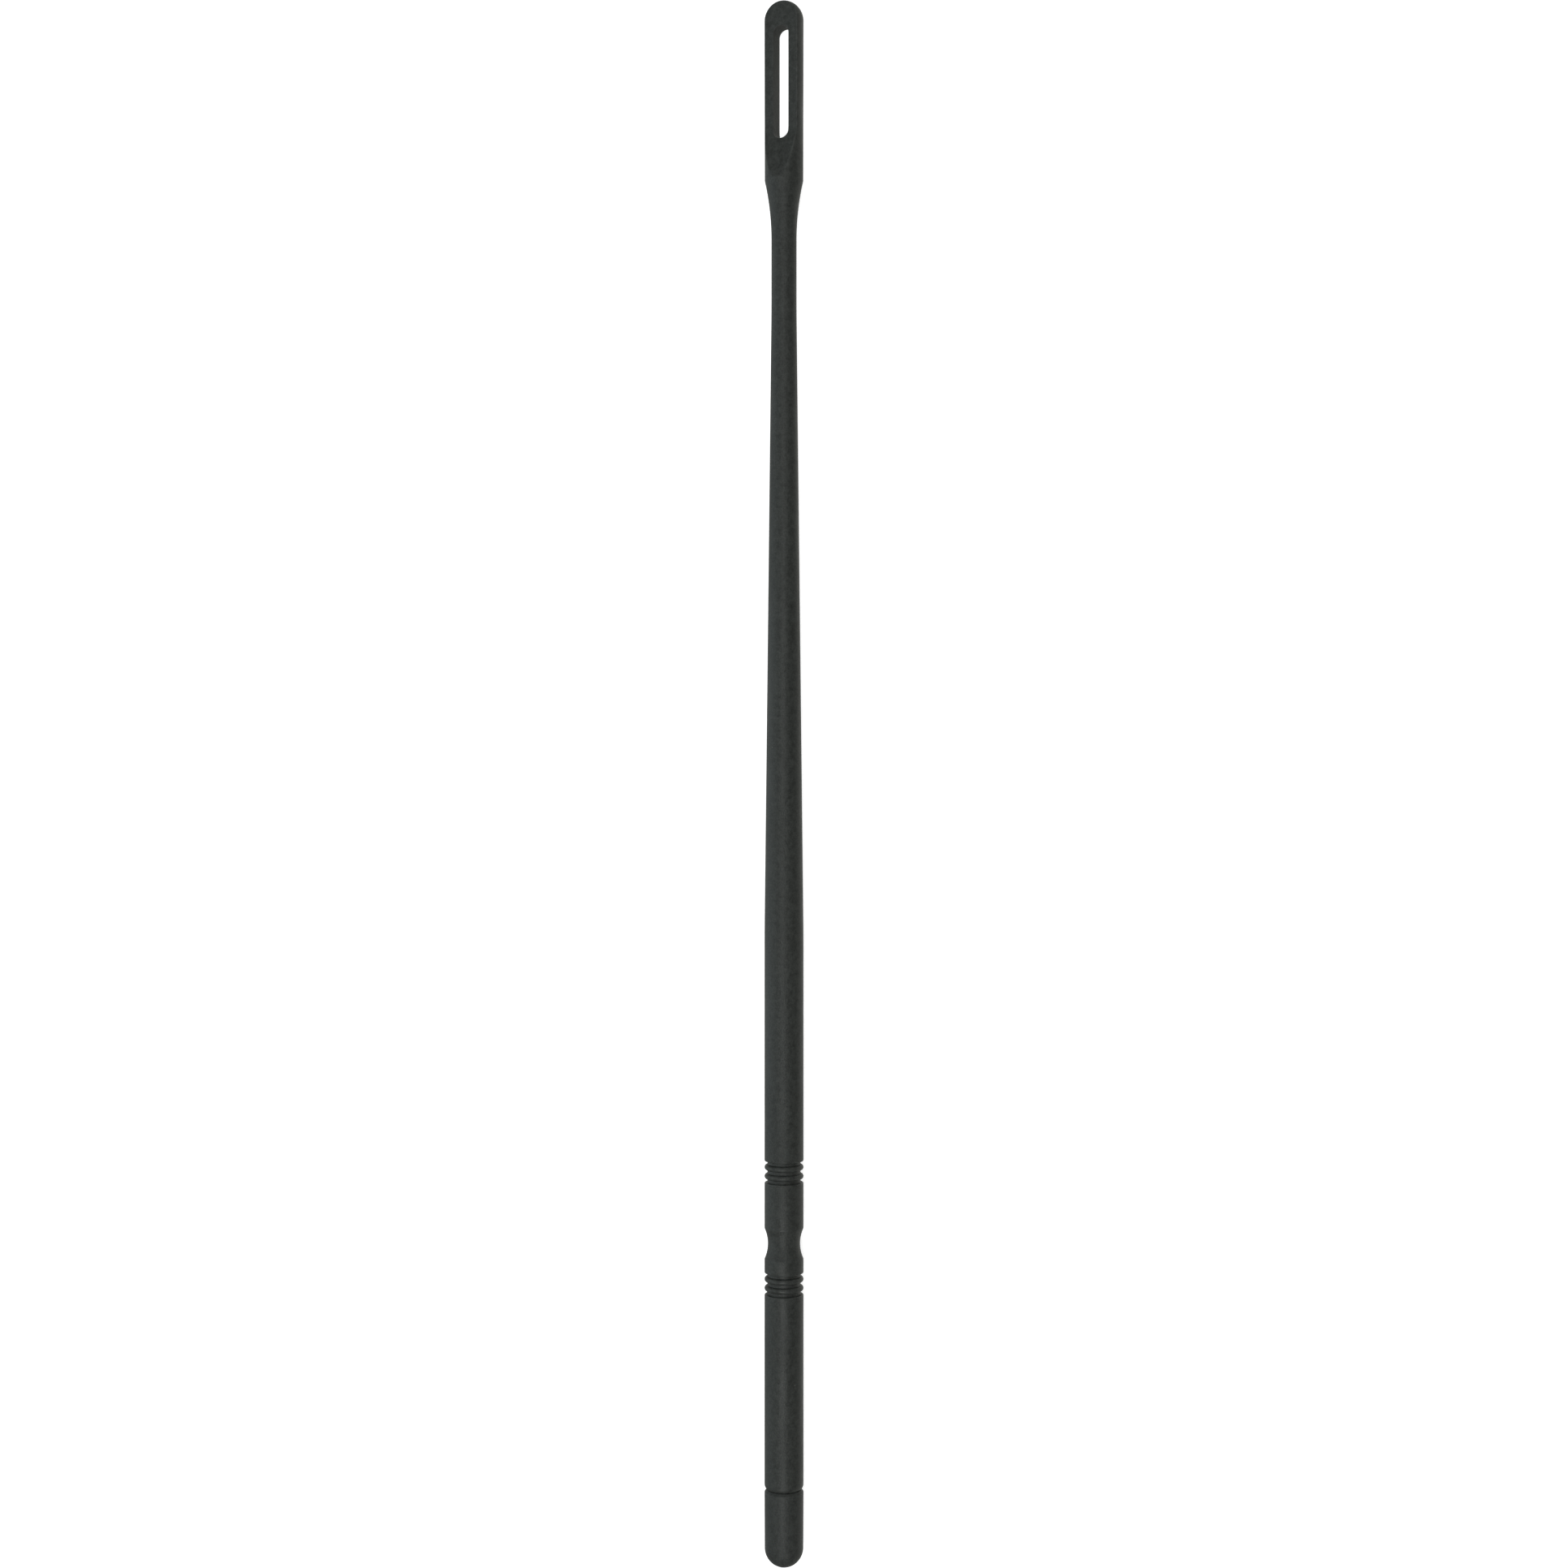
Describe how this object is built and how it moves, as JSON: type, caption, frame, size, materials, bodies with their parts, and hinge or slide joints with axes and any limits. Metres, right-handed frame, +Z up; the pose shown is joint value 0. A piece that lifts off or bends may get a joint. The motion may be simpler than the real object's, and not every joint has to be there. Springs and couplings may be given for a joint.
{
  "type": "flute cleaning rod",
  "caption": "Slim black plastic rod with a slotted flat eye for a cleaning cloth, a beaded grip and a grooved gauge tip.",
  "frame": {"origin": "half way along the rod, on the surface that it lies on", "axes": "+X along the rod, from the rounded gauge tip to the slotted eye; +Z up, square to the eye's flats"},
  "size_m": [0.345, 0.0086, 0.0086],
  "materials": {
    "rod_plastic": "matte moulded",
    "tip_plastic": "matte moulded"
  },
  "bodies": {
    "root": {"gauge_tip": "tip_plastic", "shank": "rod_plastic", "eye": "rod_plastic"}
  },
  "joints": []
}
